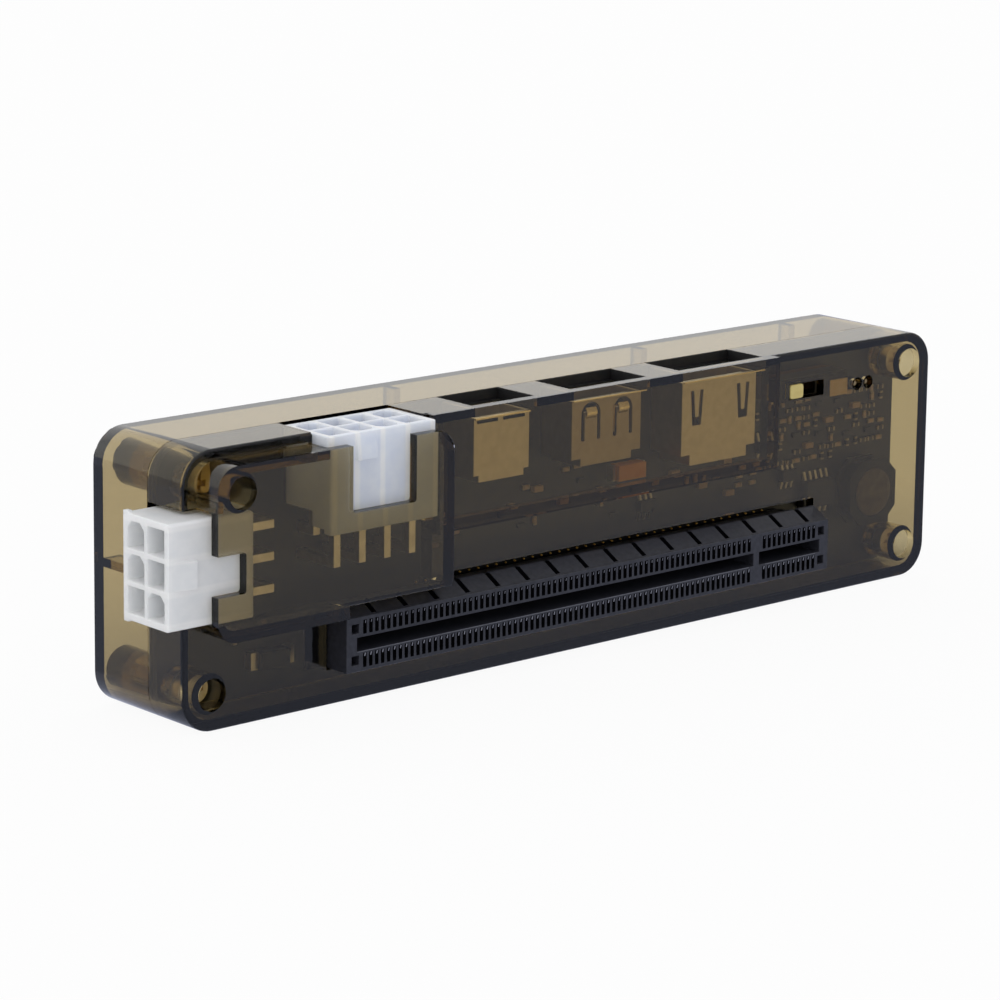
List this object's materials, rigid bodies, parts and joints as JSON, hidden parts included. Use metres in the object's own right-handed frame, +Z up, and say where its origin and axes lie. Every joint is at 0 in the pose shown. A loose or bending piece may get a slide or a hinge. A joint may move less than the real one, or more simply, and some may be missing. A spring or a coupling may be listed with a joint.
{
  "type": "graphics card dock",
  "caption": "Slim translucent case round an upright circuit board, with a long card slot on the front, power headers at the end and top, ports along the top and a small slide switch.",
  "frame": {"origin": "middle of the whole object's box at the height of its underside", "axes": "+X along the case toward the end away from the six pin header, +Y from the front face with the card slot toward the back, +Z up"},
  "size_m": [0.1412, 0.0238, 0.0366],
  "materials": {
    "smoke_plastic": "polished, translucent smoke brown",
    "board_laminate": "solder mask, near black",
    "black_plastic": "moulded, satin",
    "gold_plate": "bright plated",
    "natural_nylon": "milky, slightly translucent",
    "tinned_metal": "tinned, satin",
    "plated_sheet": "nickel plated sheet",
    "brown_laminate": "paper laminate",
    "cream_plastic": "moulded, satin",
    "lamp_resin": "clear resin over white",
    "ferrite": "fired, satin",
    "tantalum_resin": "moulded, satin",
    "ceramic_tan": "fired ceramic",
    "ceramic_dark": "fired ceramic with dark film",
    "chip_resin": "moulded epoxy",
    "screw_steel": "zinc plated"
  },
  "bodies": {
    "dock": {"front_shell": "smoke_plastic", "back_shell": "smoke_plastic", "circuit_board": "board_laminate", "card_slot_housing": "black_plastic", "card_slot_contacts": "gold_plate", "six_pin_header": "natural_nylon", "six_pin_terminals": "tinned_metal", "eight_pin_header": "natural_nylon", "eight_pin_terminals": "tinned_metal", "small_port_shell": "plated_sheet", "small_port_insert": "black_plastic", "small_port_contacts": "gold_plate", "plug_port_shell": "plated_sheet", "plug_port_insert": "black_plastic", "plug_port_contacts": "gold_plate", "signal_port_shell": "plated_sheet", "signal_port_insert": "black_plastic", "signal_port_contacts": "gold_plate", "switch_frame": "plated_sheet", "switch_base": "brown_laminate", "switch_pins": "tinned_metal", "indicator_lamps": "lamp_resin", "power_inductor": "ferrite", "inductor_pads": "tinned_metal", "bulk_capacitors": "tantalum_resin", "capacitor_ends": "tinned_metal", "chip_capacitors": "ceramic_tan", "chip_resistors": "ceramic_dark", "controller_chip": "chip_resin", "controller_leads": "tinned_metal", "driver_chips": "chip_resin", "driver_leads": "tinned_metal", "power_diode": "chip_resin", "diode_ends": "tinned_metal", "case_screws": "screw_steel"},
    "slider": {"switch_slider": "cream_plastic"}
  },
  "joints": [
    {"name": "switch_slide", "type": "slide", "parent": "dock", "child": "slider", "axis": [1, 0, 0], "range_m": [0, 0.004]}
  ]
}
